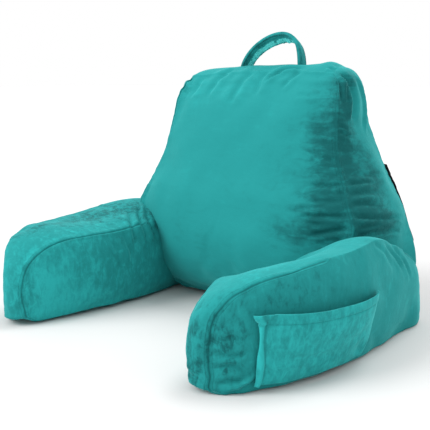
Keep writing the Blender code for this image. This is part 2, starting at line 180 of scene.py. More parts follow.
# Creases in the cloth: points along them, width and depth in millimetres, and the share of the
# depth that the ridges beside them stand up
BACKREST_FOLDS = (
    # On the right side of the strip
    (((257, -84, 209), (268, -25, 201), (266, 56, 193)), 3.6, 4.2, 0.7),
    (((266, -76, 191), (271, -25, 193)), 3.4, 3.4, 0.6),
    (((271, 13, 190), (269, 58, 177)), 3, 2.6, 0.6),
    (((265, -81, 180), (272, -2, 178), (271, 51, 170)), 3.6, 3.4, 0.7),
    (((236, -63, 262), (243, -12, 260)), 3.6, 3, 0.6),
    (((250, -75, 229), (259, -24, 223)), 4, 2.4, 0.6),
    (((232, -52, 275), (238, 4, 269), (235, 46, 269)), 5, 2, 0.6),
    (((204, -55, 351), (212, -30, 339)), 3, 2.6, 0.7),
    (((203, -54, 360), (209, -34, 352)), 2.6, 2.2, 0.7),
    (((243, -73, 244), (252, 3, 240)), 4, 2.2, 0.6),
    (((186, -29, 438), (198, -42, 404)), 3, 3, 0.6),
    (((192, -19, 431), (201, -26, 396)), 3, 3.4, 0.6),
    (((186, -12, 442), (201, -6, 400), (206, -16, 370)), 6.5, 6, 0.6),
    (((186, 22, 443), (195, 41, 397), (206, 31, 347)), 5, -4.2, 0.5),
    (((183, -19, 447), (192, -10, 432)), 4.5, 6, 0.5),
    (((150, -12, 463), (168, -14, 462)), 3, 4, 0.8),
    # On the front panel, off its right seam
    (((170, -64, 356), (195, -61, 353)), 3, 2, 0.6),
    (((180, -69, 332), (201, -65, 326)), 3.4, 1.8, 0.6),
    (((184, -73, 307), (209, -70, 298)), 3.4, 3, 0.7),
    (((176, -91, 256), (211, -83, 257), (228, -75, 260)), 3.6, 3.4, 0.7),
    (((180, -103, 228), (237, -85, 235)), 4, 2.6, 0.7),
    (((161, -111, 214), (215, -96, 226)), 4, 2.4, 0.7),
    (((172, -109, 204), (247, -91, 210)), 3.6, 4, 0.7),
    (((175, -112, 199), (207, -107, 193)), 3.4, 2.2, 0.6),
    (((192, -108, 175), (254, -94, 191)), 4, 4, 0.7),
    (((114, -54, 409), (156, -51, 410)), 4, 1.6, 0.6),
    # Down from the top seam
    (((21, -56, 410), (16, -40, 434), (19, -22, 451)), 8, 3, 0.9),
    (((30, -40, 436), (58, -18, 453), (91, -14, 458)), 4, 5, 0.8),
    (((74, -46, 424), (97, -21, 453)), 5, 2.6, 0.8),
    (((-34, -62, 392), (-28, -37, 430), (-14, -20, 449)), 8, 3.4, 0.9),
    (((-104, -52, 405), (-91, -28, 440), (-70, -14, 453)), 7, 3.4, 0.9),
    (((-150, -50, 400), (-140, -28, 438)), 6, 2.6, 0.8),
    (((-182, -24, 440), (-159, -36, 426)), 4.8, 3.6, 0.8),
    (((-187, -34, 424), (-166, -42, 410)), 4.8, 2.8, 0.8),
)
ARM_RIGHT_FOLDS = (
    (((261, -430, 64), (278, -416, 58), (291, -400, 63)), 3.4, 3.4, 0.8),
    (((260, -429, 40), (276, -418, 44), (290, -399, 33)), 3.4, 3.4, 0.8),
    (((263, -428, 17), (279, -413, 22), (289, -397, 11)), 3.4, 3.6, 0.9),
    (((268, -425, 82), (282, -412, 84), (293, -398, 78)), 3.8, 2.4, 0.8),
    (((321, -88, 169), (320, -56, 148), (322, -37, 121)), 4, 2.6, 0.8),
    (((316, -50, 159), (317, -20, 131), (319, -4, 100)), 4, 3, 0.8),
    (((324, -130, 177), (326, -98, 156), (326, -75, 132)), 4, 1.8, 0.7),
    (((212, -438, 30), (240, -436, 24)), 4, 2.2, 0.7),
    (((296, -392, 26), (287, -404, 16), (272, -421, 8)), 3.6, -5.2, 0.8),
)
ARM_LEFT_FOLDS = (
    (((-241, -149, 171), (-191, -185, 157), (-186, -190, 120)), 4.5, 3, 0.8),
    (((-252, -114, 169), (-193, -159, 157), (-187, -160, 110)), 4.5, 3.6, 0.8),
    (((-244, -99, 173), (-198, -136, 158), (-189, -135, 115)), 4.5, 3.6, 0.8),
    (((-186, -215, 140), (-185, -205, 85)), 5, 2.2, 0.7),
    (((-187, -245, 130), (-186, -232, 80)), 5, 1.8, 0.7),
)

# The pile's brushing and painted light and shade: place and reach along each axis in
# millimetres, and the amount from dark below 0 to light above it
# Mostly painted shade: down the front panel's right side and beside the right arm, over the right
# side strip and its top corner, and on the left side strip; and a painted highlight along the right
# strip's rear. The faint strokes are the pile's own brushing.
BACKREST_PILE_AND_LIGHT = (
    ((205, -85, 245), (45, 50, 55), -0.65),
    ((225, -95, 190), (70, 50, 32), -0.8),
    ((190, -70, 340), (45, 50, 80), -0.6),
    ((120, -80, 300), (60, 50, 120), -0.12),
    ((160, -110, 165), (60, 50, 30), -0.35),
    ((215, -55, 330), (40, 22, 75), -0.75),
    ((250, -45, 225), (50, 55, 45), -0.7),
    ((268, 0, 190), (40, 75, 28), -0.8),
    ((195, -28, 405), (30, 16, 55), -1),
    ((187, 0, 437), (22, 20, 14), -0.9),
    ((210, 20, 370), (40, 22, 50), 0.2),
    ((235, 0, 285), (50, 50, 60), -0.55),
    ((235, 60, 280), (60, 30, 150), 0.45),
    ((-245, -30, 250), (50, 50, 100), -0.45),
    ((-60, -50, 410), (130, 50, 50), 0.22),
    ((-20, -130, 120), (100, 60, 40), -0.12),
)
# A painted highlight along the top and painted shade over the front end; the faint strokes are the
# pile's own brushing.
ARM_RIGHT_PILE_AND_LIGHT = (
    ((230, -300, 175), (60, 120, 22), 0.6),
    ((215, -430, 30), (35, 40, 35), -0.5),
    ((235, -430, 70), (50, 40, 60), -0.32),
    ((275, -410, 60), (35, 40, 50), -0.18),
    ((325, -130, 120), (40, 60, 40), 0.1),
    ((285, -405, 110), (30, 30, 40), -0.22),
    ((320, -330, 140), (40, 50, 30), -0.2),
)
# Painted light over the whole inner face, and painted shade along the top and on the front end; the
# two dark strokes on the inner face are the pile's own crushing.
ARM_LEFT_PILE_AND_LIGHT = (
    ((-205, -290, 65), (40, 220, 85), 1.3),
    ((-190, -200, 100), (40, 95, 60), -0.5),
    ((-200, -120, 150), (40, 30, 30), -0.5),
    ((-265, -240, 175), (55, 170, 26), -0.85),
    ((-215, -430, 60), (35, 30, 60), -0.45),
)

# Where the filling slumps or stands up, or a lower edge lifts off the floor: place, reach along
# each axis and height, all in millimetres
BACKREST_LIFTS = (
    ((-10, -70, 0), (160, 40, 40), 16),
    ((138, 15, 465), (16, 30, 15), 5),
    ((160, 0, 462), (7, 30, 12), -3),
)
ARM_RIGHT_LIFTS = (
    ((215, -210, 155), (60, 110, 60), -36),
    ((260, -120, 165), (80, 48, 60), 9),
    ((320, -250, 0), (30, 130, 30), 4),
)
ARM_LEFT_LIFTS = (
    ((-305, -245, 180), (85, 105, 60), -17),
    ((-270, -60, 160), (80, 60, 80), 16),
    ((-200, -240, 0), (22, 150, 40), 10),
    ((-220, -425, 0), (40, 20, 30), 5),
)

# The pockets' cloth: its thickness, its distance off the cushion, how proud its hem is, and how
# far round a point the cushion is felt for its highest place
SHEET_THICK = 0.0022
SHEET_OFF = 0.0008
HEM_RISE = 0.0012
PROBE = 0.005

# The side pocket, the ridge up its front edge and the flap at its front corner
POCKET_GRID = (150, 70)
POCKET_FRONT_Y = -0.392
POCKET_REAR_Y = -0.147
POCKET_FOOT_SHIFT = -0.028
POCKET_MOUTH_Z = 0.120
POCKET_MOUTH_REAR_Z = 0.112
POCKET_FOOT_Z = 0.012
POCKET_GAPE = 0.017
POCKET_HEM_AT = 0.860
POCKET_RIDGE = 0.0048
POCKET_FLAP = 0.012

# The back pocket, whose side edges stand a little proud
BACK_POCKET_GRID = (180, 60)
BACK_POCKET_FOOT_Z = 0.142
BACK_POCKET_MOUTH_Z = 0.282
BACK_POCKET_INSET = 0.003
BACK_POCKET_GAPE = 0.024
BACK_POCKET_HEM_AT = 0.855
BACK_POCKET_EDGE = 0.0032

# The velour: streaks down an arm and across the backrest, as noise scales along each axis, and
# the topstitching's distance from a seam as a share of SEAM_REACH
STREAKS_DOWN = (105, 105, 40)
STREAKS_ACROSS = (24, 24, 80)
STITCHES_AT = 0.115


def fade(value):
    """Eases from 0 at 0 to 1 at 1."""
    value = np.clip(value, 0.0, 1.0)
    return value * value * (3 - 2 * value)


def bell(value, place, width):
    """1 where a value is at a place, and nearly 0 from two widths away."""
    return np.exp(-(((value - place) / width) ** 2))


def closeness(points, place, reach):
    """1 at a place, falling away along each axis by that axis's own reach, both in millimetres."""
    away = ((points - np.array(place) / 1000) / (np.array(reach) / 1000)) ** 2
    return np.exp(-away.sum(1))


def smooth_rows(rows, places, closed):
    """Rows of a table at fractional places along it, on a smooth curve through its rows."""
    count = len(rows)
    i = np.floor(places).astype(int)
    share = (places - i)[:, None]

    def nth(n):
        return rows[n % count] if closed else rows[np.clip(n, 0, count - 1)]

    before, start, end, after = nth(i - 1), nth(i), nth(i + 1), nth(i + 2)
    return 0.5 * (
        2 * start
        + (end - before) * share
        + (2 * before - 5 * start + 4 * end - after) * share**2
        + (3 * start - before - 3 * end + after) * share**3
    )


def table_at(table, column, where):
    """A column of a table at any value of its first column."""
    flat = np.clip(np.asarray(where, float).ravel(), table[0, 0], table[-1, 0])
    i = np.clip(np.searchsorted(table[:, 0], flat, side="right") - 1, 0, len(table) - 2)
    places = i + (flat - table[i, 0]) / (table[i + 1, 0] - table[i, 0])
    found = smooth_rows(table[:, [column]], np.minimum(places, len(table) - 1 - HAIR), False)
    return found[:, 0].reshape(np.shape(where))


def run_along(points):
    """The length of a line of points, up to each of them."""
    return np.concatenate([[0], np.cumsum(np.linalg.norm(np.diff(points, axis=0), axis=1))])


def even_places(rows, steps, closed):
    """Places along the curve through the rows that part it into equal lengths."""
    last = len(rows) if closed else len(rows) - 1
    fine = np.linspace(0, last, 60 * len(rows) + 1)
    run = run_along(smooth_rows(rows, np.minimum(fine, last - HAIR), closed))
    wanted = np.linspace(0, run[-1], steps + 1)
    return np.interp(wanted[:-1] if closed else wanted, run, fine)


def deselect_all():
    for chosen in list(bpy.context.selected_objects):
        chosen.select_set(False)


def choose(thing):
    deselect_all()
    thing.select_set(True)
    bpy.context.view_layer.objects.active = thing


def apply_modifiers(thing):
    choose(thing)
    for modifier in list(thing.modifiers):
        bpy.ops.object.modifier_apply(modifier=modifier.name)


def points_of(mesh):
    found = np.empty(len(mesh.vertices) * 3)
    mesh.vertices.foreach_get("co", found)
    return found.reshape(-1, 3)


def normals_of(mesh):
    found = np.empty(len(mesh.vertices) * 3, np.float32)
    mesh.vertex_normals.foreach_get("vector", found)
    return found.reshape(-1, 3)


def set_points(mesh, points):
    mesh.vertices.foreach_set("co", np.ascontiguousarray(points).ravel())
    mesh.update()


def store(mesh, name, values):
    made = mesh.attributes.get(name) or mesh.attributes.new(name, "FLOAT", "POINT")
    made.data.foreach_set("value", np.asarray(values, np.float32).ravel())


def stored(mesh, name):
    values = np.empty(len(mesh.vertices), np.float32)
    mesh.attributes[name].data.foreach_get("value", values)
    return values


def face_out(mesh):
    """Turns a closed mesh's faces outwards, if its signed volume says that they face in."""
    mesh.calc_loop_triangles()
    corners = np.empty(len(mesh.loop_triangles) * 3, np.int32)
    mesh.loop_triangles.foreach_get("vertices", corners)
    a, b, c = points_of(mesh)[corners].reshape(-1, 3, 3).transpose(1, 0, 2)
    if (a * np.cross(b, c)).sum() < 0:
        mesh.flip_normals()


def flat_grid(name, along, up):
    """A flat grid of quads, with each vertex's place on it, from 0 to 1 both ways."""
    deselect_all()
    bpy.ops.mesh.primitive_grid_add(x_subdivisions=along, y_subdivisions=up, size=1.0)
    made = bpy.context.object
    made.name = made.data.name = name
    return made, points_of(made.data)[:, :2] + 0.5


def closed_mesh(name, rings):
    """A closed mesh from a flat grid of quads rolled up: the places of its rings, from the point
    at one end to the point at the other. Returns each vertex's ring and step too."""
    bands, around = len(rings) - 1, len(rings[0])
    made, flat = flat_grid(name, around, bands)
    column = np.rint(flat[:, 0] * around).astype(int) % around
    row = np.rint(flat[:, 1] * bands).astype(int)
    set_points(made.data, rings[row, column])
    store(made.data, "row", row)
    store(made.data, "column", column)
    bpy.ops.object.mode_set(mode="EDIT")
    bpy.ops.mesh.select_all(action="SELECT")
    bpy.ops.mesh.remove_doubles(threshold=1e-6)
    bpy.ops.object.mode_set(mode="OBJECT")
    row = np.rint(stored(made.data, "row")).astype(int)
    column = np.rint(stored(made.data, "column")).astype(int)
    face_out(made.data)
    return made, row, column


def cushion_grid(around, panel_steps, strip_steps, place_on):
    """The places of a sewn cushion's rings: a panel's heart to its seam, the strip, the other."""
    even = np.linspace(0, 1, panel_steps + 1)
    panel = even + PANEL_CROWDING * np.sin(math.pi * even) / math.pi
    strip = np.sin(np.linspace(-1, 1, strip_steps + 1)[1:-1] * STRIP_ARC) / math.sin(STRIP_ARC)
    rings = [("first", ring) for ring in panel]
    rings += [("strip", ring) for ring in strip]
    rings += [("last", ring) for ring in reversed(panel)]
    grid = np.stack([place_on(part, ring, around) for part, ring in rings])
    grid[0] = grid[0].mean(0)
    grid[-1] = grid[-1].mean(0)
    return grid


def between(grid, axis, closed):
    """A grid with a new line halfway between its lines, on a smooth curve."""
    lines = np.moveaxis(grid, axis, 0)
    count = len(lines)
    start = np.arange(count if closed else count - 1)
    if closed:
        before, after, far = lines[start - 1], lines[(start + 1) % count], lines[(start + 2) % count]
    else:
        before, after = lines[np.maximum(start - 1, 0)], lines[start + 1]
        far = lines[np.minimum(start + 2, count - 1)]
    middle = (9 * (lines[start] + after) - before - far) / 16
    made = np.empty((len(start) + count, *lines.shape[1:]))
    made[0::2] = lines
    made[1::2] = middle
    return np.moveaxis(made, 0, axis)


def sewn_cushion(name, steps, place_on):
    """A cushion made of rings, filled on every fourth ring and step, then made fine. Each vertex
    keeps how far it lies from each seam and how far along them, and its part: 0 and 2 for the
    panels, 1 for the strip."""
    around, panel_steps, strip_steps = steps
    coarse = cushion_grid(around // 4, panel_steps // 4, strip_steps // 4, place_on)
    moved = swell(name, coarse, panel_steps // 4) - coarse
    grid = cushion_grid(around, panel_steps, strip_steps, place_on)
    for _ in range(2):
        moved = between(between(moved, 1, True), 0, False)
    grid += moved
    step_off = np.linalg.norm(np.diff(grid, axis=0), axis=2)
    down = np.concatenate([np.zeros((1, around)), np.cumsum(step_off, axis=0)])
    first_seam, last_seam = panel_steps, panel_steps + strip_steps
    run = run_along(grid[first_seam])
    made, row, column = closed_mesh(name, grid)
    store(made.data, "seam_first", np.abs(down - down[first_seam])[row, column])
    store(made.data, "seam_last", np.abs(down - down[last_seam])[row, column])
    store(made.data, "along", run[column])
    store(made.data, "part", np.select([row <= first_seam, row < last_seam], [0.0, 1.0], 2.0))
    return made


def swell(name, grid, panel_steps):
    """Fills a cushion with Blender's Cloth, its seams and foot held, caps how far a point moves,
    and smooths the movement along the rings and over each panel's heart. Returns the grid of its
    places."""
    thing, row, column = closed_mesh(name + "_filling", grid)
    on_seam = (row == panel_steps) | (row == len(grid) - 1 - panel_steps)
    held = on_seam | (grid[row, column, 2] < HELD_BELOW_Z)
    pinned = thing.vertex_groups.new(name="pinned")
    pinned.add([int(n) for n in np.nonzero(held)[0]], 1.0, "REPLACE")
    cloth = thing.modifiers.new("filling", "CLOTH")
    settings = cloth.settings
    settings.quality = 5
    settings.mass = 0.15
    settings.tension_stiffness = 18
    settings.compression_stiffness = 12
    settings.shear_stiffness = 6
    settings.bending_stiffness = 0.6
    settings.use_pressure = True
    settings.uniform_pressure_force = SWELL_PRESSURE
    settings.shrink_min = -SWELL_GROWTH
    settings.vertex_group_mass = "pinned"
    settings.effector_weights.gravity = 0
    cloth.point_cache.frame_start = 1
    cloth.point_cache.frame_end = SWELL_FRAMES
    for number in range(1, SWELL_FRAMES + 1):
        bpy.context.scene.frame_set(number)
    graph = bpy.context.evaluated_depsgraph_get()
    moved = points_of(thing.evaluated_get(graph).data) - grid[row, column]
    bpy.data.objects.remove(thing)
    bpy.context.scene.frame_set(1)
    size = np.linalg.norm(moved, axis=1, keepdims=True)
    moved *= SWELL_CAP * np.tanh(size / SWELL_CAP) / np.maximum(size, HAIR)
    shift = np.zeros_like(grid)
    shift[row, column] = moved
    for _ in range(2):
        shift = (np.roll(shift, 1, 1) + 2 * shift + np.roll(shift, -1, 1)) / 4
    core = panel_steps // 2
    for heart, way in ((0, 1), (len(grid) - 1, -1)):
        middle = shift[heart + way * core].mean(0)
        for step in range(core):
            share = fade(step / core)
            shift[heart + way * step] = share * shift[heart + way * step] + (1 - share) * middle
    return grid + shift


def seam_crease(thing, hidden):
    """Draws the cloth in along both seams, with a small roll on each side of the stitches.
    hidden(points) is 1 where the seam is lost in the fullness of the cloth."""
    mesh = thing.data
    near = np.minimum(stored(mesh, "seam_first"), stored(mesh, "seam_last"))
    near = near + SEAM_REACH * hidden(points_of(mesh))
    sink = SEAM_SINK * bell(near, 0, SEAM_WIDE)
    roll = SEAM_ROLL * bell(near, SEAM_ROLL_AT, SEAM_ROLL_WIDE)
    set_points(mesh, points_of(mesh) + normals_of(mesh) * (roll - sink)[:, None])
    store(mesh, "seam", np.minimum(near, SEAM_REACH) / SEAM_REACH)


def gather(thing, seed, pitch, zone, length, depth):
    """Short creases that run off the seams, as where the cloth is eased in. zone(point) gives
    each crease's share of the full depth by the place of its root."""
    mesh = thing.data
    rng = np.random.default_rng(seed)
    points = points_of(mesh)
    along = stored(mesh, "along")
    on_strip = np.abs(stored(mesh, "part") - 1.0) < 0.5
    total = along.max()
    push = np.zeros(len(points))
    for which in ("seam_first", "seam_last"):
        off = stored(mesh, which)
        close = np.nonzero(off < 2.6 * length)[0]
        close = close[np.argsort(along[close])]
        runs = along[close]
        edge = close[off[close] < GATHER_EDGE]
        edge_runs = along[edge]
        for root in np.arange(0, total, pitch):
            root += rng.normal(0, pitch * 0.35)
            marks = rng.random(10)
            at = points[edge[np.searchsorted(edge_runs, root % total) % len(edge)]]
            share = zone(at)
            if share < GATHER_LEAST:
                continue
            first, last = np.searchsorted(runs, (root - GATHER_SPREAD, root + GATHER_SPREAD))
            some = close[first:last]
            for side in (0, 1):
                mark = marks[side * 5 : side * 5 + 5]
                reach = length * (0.35 + 0.9 * mark[0]) * (0.5 + 0.5 * share)
                wide = 0.0028 + 0.0034 * mark[1]
                deep = depth * share * (0.3 + 0.7 * mark[2])
                offset = along[some] - root - (mark[3] - 0.5) * 0.9 * off[some]
                valley = bell(offset, 0, wide)
                ridge = bell(offset, 1.9 * wide, 1.3 * wide)
                fall = bell(off[some], 0, reach) * (1 - bell(off[some], 0, GATHER_START))
                folded = deep * (0.8 * ridge - valley) * fall
                push[some] += np.where(on_strip[some] == bool(side), folded, 0)
    set_points(mesh, points + normals_of(mesh) * push[:, None])


def crease(thing, folds):
    """Creases along lines of points on the cloth: a valley with a ridge beside it. Each fold is
    its points, width, depth and the share of its depth that the ridge stands up."""
    mesh = thing.data
    points = points_of(mesh)
    normals = normals_of(mesh)
    tree = BVHTree.FromObject(thing, bpy.context.evaluated_depsgraph_get())
    push = np.zeros(len(points))
    for corners, width, depth, ridge in folds:
        corners = np.array(corners) / 1000
        width, depth = width / 1000, depth / 1000
        if len(corners) == 2:
            corners = np.array([corners[0], corners.mean(0), corners[1]])
        places = np.linspace(0, len(corners) - 1 - HAIR, CREASE_POINTS)
        line = smooth_rows(corners, places, False)
        found = [tree.find_nearest(Vector(point)) for point in line]
        line = np.array([hit[0] for hit in found])
        facing = np.array([hit[1] for hit in found])
        reach = 5 * width
        low, high = line.min(0) - reach, line.max(0) + reach
        some = np.nonzero(((points > low) & (points < high)).all(1))[0]
        away = points[some][:, None] - line
        nearest = (away**2).sum(2).argmin(1)
        way = np.gradient(line, axis=0)
        way /= np.linalg.norm(way, axis=1, keepdims=True)
        across = np.cross(way, facing)
        offset = away[np.arange(len(some)), nearest]
        side = (offset * across[nearest]).sum(1)
        past = (offset * way[nearest]).sum(1)
        share = nearest / (CREASE_POINTS - 1) + past / np.linalg.norm(line[-1] - line[0])
        ends = fade((share + 0.12) / 0.35) * fade((1.12 - share) / 0.35)
        same = (normals[some] * facing[nearest]).sum(1) > 0.1
        valley = bell(side, 0, width)
        crest = bell(side, 1.9 * width, 1.5 * width)
        crest += 0.7 * bell(side, -2.1 * width, 1.6 * width)
        push[some] += np.where(same, depth * ends * (ridge * crest - valley), 0)
    set_points(mesh, points + normals * push[:, None])


def settle(thing, lifts):
    """Lowers the cloth where the filling slumps, and raises it where it is full or where a lower
    edge curls under."""
    points = points_of(thing.data)
    raised = np.zeros(len(points))
    for place, reach, height in lifts:
        raised += height / 1000 * closeness(points, place, reach)
    points[:, 2] += raised
    set_points(thing.data, points)


def brush_and_paint_light(thing, strokes):
    """Where the pile is brushed, or light and shade are painted, dark below 0 or light: each stroke
    is its place, its reach along each axis and its amount. A dark stroke crushes the pile too."""
    points = points_of(thing.data)
    total = np.zeros(len(points))
    crushed = np.zeros(len(points))
    for place, reach, amount in strokes:
        near = closeness(points, place, reach)
        total += amount * near
        crushed += CRUSH_OF_DARK * max(-amount, 0.0) * near
    store(thing.data, "pile_and_painted_light", np.clip(total, -1, 1))
    store(thing.data, "crushed", np.clip(crushed, 0, 1))


def lumps(thing, seed, amount, size):
    """The stuffing's slow unevenness, from a few dozen seeded waves."""
    mesh = thing.data
    rng = np.random.default_rng(seed)
    points = points_of(mesh)
    push = np.zeros(len(points))
    for _ in range(LUMP_WAVES):
        way = rng.normal(size=3)
        way *= rng.uniform(0.6, 1.8) * math.tau / size / np.linalg.norm(way)
        push += np.sin(points @ way + rng.uniform(0, math.tau))
    set_points(mesh, points + normals_of(mesh) * (amount * push / 6)[:, None])


def backrest_eased(point):
    """How much cloth is eased into the backrest's seams: most beside the sitter's waist."""
    waist = bell(point[2], 0.22, 0.06)
    shoulder = bell(point[2], 0.34, 0.07)
    return 0.15 + 0.45 * waist + 0.30 * shoulder


def backrest_seam_hidden(points):
    """The backrest's seams are lost along its top."""
    return fade((points[:, 2] - 0.437) / 0.02)


def arm_seam_hidden(points):
    """An arm's seams are lost along its top, from further forward on the right arm."""
    along, height = points[:, 1], points[:, 2]
    lost_from = np.where(points[:, 0] > 0, -0.27, -0.16)
    lost = fade((along - lost_from) / 0.06) * fade((0.0 - along) / 0.05)
    return 0.9 * lost * fade((height - 0.11) / 0.03)


def rest_on_floor(thing):
    """Flattens what sank through the floor."""
    points = points_of(thing.data)
    points[:, 2] = np.maximum(points[:, 2], 0.0)
    set_points(thing.data, points)


def backrest_seam(half_column, y_column):
    """Half of a seam of the backrest, from the middle of its foot to the middle of its top."""
    foot, top = LEVELS[0], LEVELS[-1]
    rows = [(foot[half_column] * FLAT_SHARE * n, foot[y_column], foot[0]) for n in (0, 1)]
    rows += [(level[half_column], level[y_column], level[0]) for level in LEVELS]
    high = top[0] + TOP_RISE
    rows += [(top[half_column] * share, top[y_column], high) for share in (FLAT_SHARE, 0)]
    return np.array(rows)


def panel_fullness(x, z):
    """The share of their crown that the backrest's panels have: most in the middle, a third of
    the way up."""
    side = x / table_at(LEVELS, 1, z)
    height = z / LEVELS[-1, 0]
    sideways = np.maximum(0.0, 1 - np.abs(side) ** 2.6)
    upward = fade((height + 0.05) / 0.35) * (1 - fade((height - 0.45) / 0.60))
    return sideways**0.8 * (0.25 + 0.75 * upward)


def make_backrest():
    def place_on(part, ring, steps):
        front, back, out = backrest_lines(steps)
        if part == "strip":
            crown = SIDE_CROWN + (TOP_CROWN - SIDE_CROWN) * fade(out[:, 2])
            lift = crown * (1 - ring * ring) ** 0.7
            point = front + (back - front) * (ring + 1) / 2 + out * lift[:, None]
        else:
            first = part == "first"
            seam = front if first else back
            facing = -1 if first else 1
            crown = FRONT_CROWN if first else BACK_CROWN
            heart = np.array([0.0, 0.0, BACKREST_HEART_Z])
            point = heart + (seam - heart) * ring
            rise = crown * panel_fullness(point[:, 0], point[:, 2]) * (1 - ring**7)
            point[:, 1] = table_at(LEVELS, 2 if first else 4, point[:, 2]) + facing * rise
        slant = 1 + TOP_SLANT * point[:, 0]
        point[:, 2] = point[:, 2] * slant - TOP_DROP * point[:, 2] / LEVELS[-1, 0]
        point[:, 2] = np.maximum(point[:, 2], 0)
        return point

    return sewn_cushion("backrest_cushion", BACKREST_STEPS, place_on)


def backrest_lines(around):
    """The front seam, the back seam and the way out from them, at each step round."""
    half = around // 2
    front_rows = backrest_seam(1, 2)
    back_rows = backrest_seam(3, 4)
    last = len(front_rows) - 1 - HAIR
    places = np.minimum(even_places(front_rows, half, False), last)
    front = smooth_rows(front_rows, places, False)
    back = smooth_rows(back_rows, places, False)
    ahead = smooth_rows(front_rows, np.minimum(places + WAY_STEP, last), False)
    behind = smooth_rows(front_rows, np.maximum(places - WAY_STEP, 0), False)
    way = ahead - behind
    out = np.stack([way[:, 2], 0 * way[:, 0], -way[:, 0]], axis=1)
    out /= np.linalg.norm(out, axis=1, keepdims=True)
    other = np.arange(half - 1, 0, -1)
    flip = np.array([-1.0, 1.0, 1.0])
    return tuple(np.concatenate([side, side[other] * flip]) for side in (front, back, out))


def arm_lines(around):
    """An arm's inner seam, outer seam and the way out from them, at each step round."""
    inner_rows, outer_rows = ARM_OUTLINE[:, :2], ARM_OUTLINE[:, 2:]
    places = even_places(outer_rows, around, True)
    inner = smooth_rows(inner_rows, places, True)
    outer = smooth_rows(outer_rows, places, True)
    ahead = smooth_rows(outer_rows, places + WAY_STEP, True)
    way = ahead - smooth_rows(outer_rows, places - WAY_STEP, True)
    inner[:, 1] = np.maximum(inner[:, 1], 0)
    outer[:, 1] = np.maximum(outer[:, 1], 0)
    inner = np.column_stack([table_at(STATIONS, 1, inner[:, 0]), inner])
    outer = np.column_stack([table_at(STATIONS, 2, outer[:, 0]), outer])
    out = np.stack([0 * way[:, 0], -way[:, 1], way[:, 0]], axis=1)
    return inner, outer, out / np.linalg.norm(out, axis=1, keepdims=True)


def make_arm(name, side):
    """An arm, on the right where side is 1 and mirrored to the left where it is -1."""

    def place_on(part, ring, steps):
        inner, outer, out = arm_lines(steps)
        if part == "strip":
            crown = ARM_END_CROWN + (ARM_TOP_CROWN - ARM_END_CROWN) * fade(out[:, 2])
            lift = crown * fade((out[:, 2] + 0.55) / 0.5) * (1 - ring * ring) ** 0.6
            point = inner + (outer - inner) * (ring + 1) / 2 + out * lift[:, None]
        else:
            first = part == "first"
            seam = inner if first else outer
            bulge = -ARM_INNER_BULGE if first else ARM_OUTER_BULGE
            heart = np.array([0.0, *ARM_HEART])
            point = heart + (seam - heart) * ring
            rise = bulge * (1 - ring**5) * (0.4 + 0.6 * np.sin(math.pi * point[:, 2] / ARM_TALL))
            point[:, 0] = table_at(STATIONS, 1 if first else 2, point[:, 1]) + rise
        point[:, 2] = np.maximum(point[:, 2], 0)
        return point * np.array([side, 1.0, 1.0])

    return sewn_cushion(name, ARM_STEPS, place_on)


def strap_line(share):
    """The handle's middle line, share running from its left foot to its right foot."""
    angle = math.pi * np.clip(share, 0, 1)
    x = -HANDLE_FOOT_HALF * np.cos(angle) + HANDLE_LEAN * np.sin(angle) ** 2
    rise = (HANDLE_RISE + HANDLE_SINK) * np.sin(angle) ** 0.9
    return np.stack([x, 0 * x + HANDLE_Y, 0 * x + HANDLE_FOOT_Z + rise], axis=-1)


def make_handle():
    """The padded strap: a flat darker band along its front half, a puckered lining along its rear
    half with painted highlights over it, brightest on its puckers, and stitched edges."""
    rings, around = STRAP_GRID
    shares = np.linspace(0, 1, rings + 1)
    middle = strap_line(shares)
    ahead = strap_line(shares + 0.004) - strap_line(shares - 0.004)
    ahead /= np.linalg.norm(ahead, axis=1, keepdims=True)
    roll = np.radians(HANDLE_TURN + HANDLE_ROLL * np.sin(math.pi * shares) ** 2)
    level = np.array([0.0, 1.0, 0.0])
    up = np.cross(ahead, level)
    up /= np.linalg.norm(up, axis=1, keepdims=True)
    wide = level * np.cos(roll)[:, None] - up * np.sin(roll)[:, None]
    tall = np.cross(ahead, wide)
    angle = np.arange(around) / around * math.tau
    c, s = np.cos(angle), np.sin(angle)
    across = STRAP_WIDE / 2 * np.sign(c) * np.abs(c) ** 0.42
    thick = STRAP_THICK / 2 * np.sign(s) * np.abs(s) ** 0.55
    edge = (STRAP_WIDE / 2 - np.abs(across)) / STRAP_WIDE
    thick = thick * (1 - 0.30 * bell(edge, STRAP_STITCHES_AT, 0.05))
    rng = np.random.default_rng(4)
    run = run_along(middle)
    pucker = np.zeros((rings + 1, around))
    under = fade(-s * 1.6)
    for root in np.arange(0.010, run[-1], PUCKER_PITCH):
        root += rng.normal(0, 0.0012)
        lean = rng.uniform(-2.6, 2.6)
        wide_by = rng.uniform(0.0010, 0.0024)
        reach = rng.uniform(-0.1, 0.3)
        offset = run[:, None] - root - lean * across[None, :]
        span = bell(across / STRAP_WIDE, reach, 0.42)
        pucker += rng.uniform(-0.4, 1.0) * bell(offset, 0, wide_by) * span
    lining = under * fade((across / STRAP_WIDE + 0.10) / 0.12)
    pucker *= PUCKER_DEPTH * (0.25 + 0.75 * lining) * under
    narrow = 1 - STRAP_NARROWS * (1 - np.sin(math.pi * shares))
    sideways = wide[:, None] * (across[None, :] * narrow[:, None])[..., None]
    upward = tall[:, None] * (thick[None, :] - pucker)[..., None]
    grid = middle[:, None] + sideways + upward
    grid[0] = middle[0]
    grid[-1] = middle[-1]
    made, row, column = closed_mesh("handle_strap", grid)
    # Painted highlights over the lining, brightest on the crests of its puckers.
    raised = np.clip(0.55 * lining + 260 * pucker * lining, 0, 1)
    store(made.data, "painted_highlight", raised[row, column])
    # Stitch lines, and the outer band darker than the lining.
    darkening = bell(edge, 0.10, 0.03) + 0.55 * (1 - lining)
    store(made.data, "crushed", (CRUSH_ELSEWHERE + 1.3 * lining)[column])
    store(made.data, "darkening", darkening[column])
    return made


